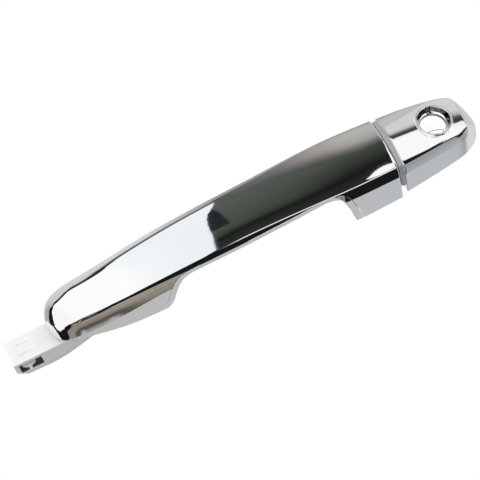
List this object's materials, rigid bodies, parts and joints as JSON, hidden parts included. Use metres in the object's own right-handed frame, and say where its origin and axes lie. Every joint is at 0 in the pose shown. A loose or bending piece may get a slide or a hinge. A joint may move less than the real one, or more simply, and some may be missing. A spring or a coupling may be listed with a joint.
{
  "type": "car door handle",
  "caption": "Chromed outside car door handle: a bowed strap grip hinged on a front arm, with a fixed rear cap around an empty key hole.",
  "frame": {"origin": "middle of the cap's seat, on the door skin plane", "axes": "+X along the handle from the front arm towards the cap, +Y up the door, +Z out of the door"},
  "size_m": [0.2694, 0.0356, 0.0529],
  "materials": {
    "chrome_plate": "polished",
    "cast_zinc": "satin",
    "black_plastic": "moulded grain",
    "pale_plastic": "moulded",
    "rubber": "matte",
    "screw_steel": "zinc plated"
  },
  "bodies": {
    "cap": {"cap_cover": "chrome_plate", "keyhole_bezel": "chrome_plate", "cap_base": "pale_plastic", "cap_gasket": "rubber", "cap_screw_1": "screw_steel", "cap_screw_2": "screw_steel"},
    "grip": {"grip_cover": "chrome_plate", "grip_backing": "chrome_plate", "grip_core": "black_plastic", "backing_screw_1": "screw_steel", "backing_screw_2": "screw_steel", "front_arm": "cast_zinc", "pivot_bush": "pale_plastic", "front_foot_plate": "black_plastic", "arm_screw_1": "screw_steel", "arm_screw_2": "screw_steel", "rear_leg": "cast_zinc", "leg_buffer": "rubber", "rear_foot_plate": "black_plastic", "leg_screw_1": "screw_steel", "leg_screw_2": "screw_steel", "front_foot_pad": "rubber", "rear_foot_pad": "rubber"}
  },
  "joints": [
    {"name": "grip_pull", "type": "hinge", "parent": "cap", "child": "grip", "pos_m": [-0.2304, 0.00255, -0.0072], "axis": [0, -1, 0], "range_deg": [0, 8], "stiffness_Nm_per_rad": 15, "springref_deg": -6.88}
  ]
}
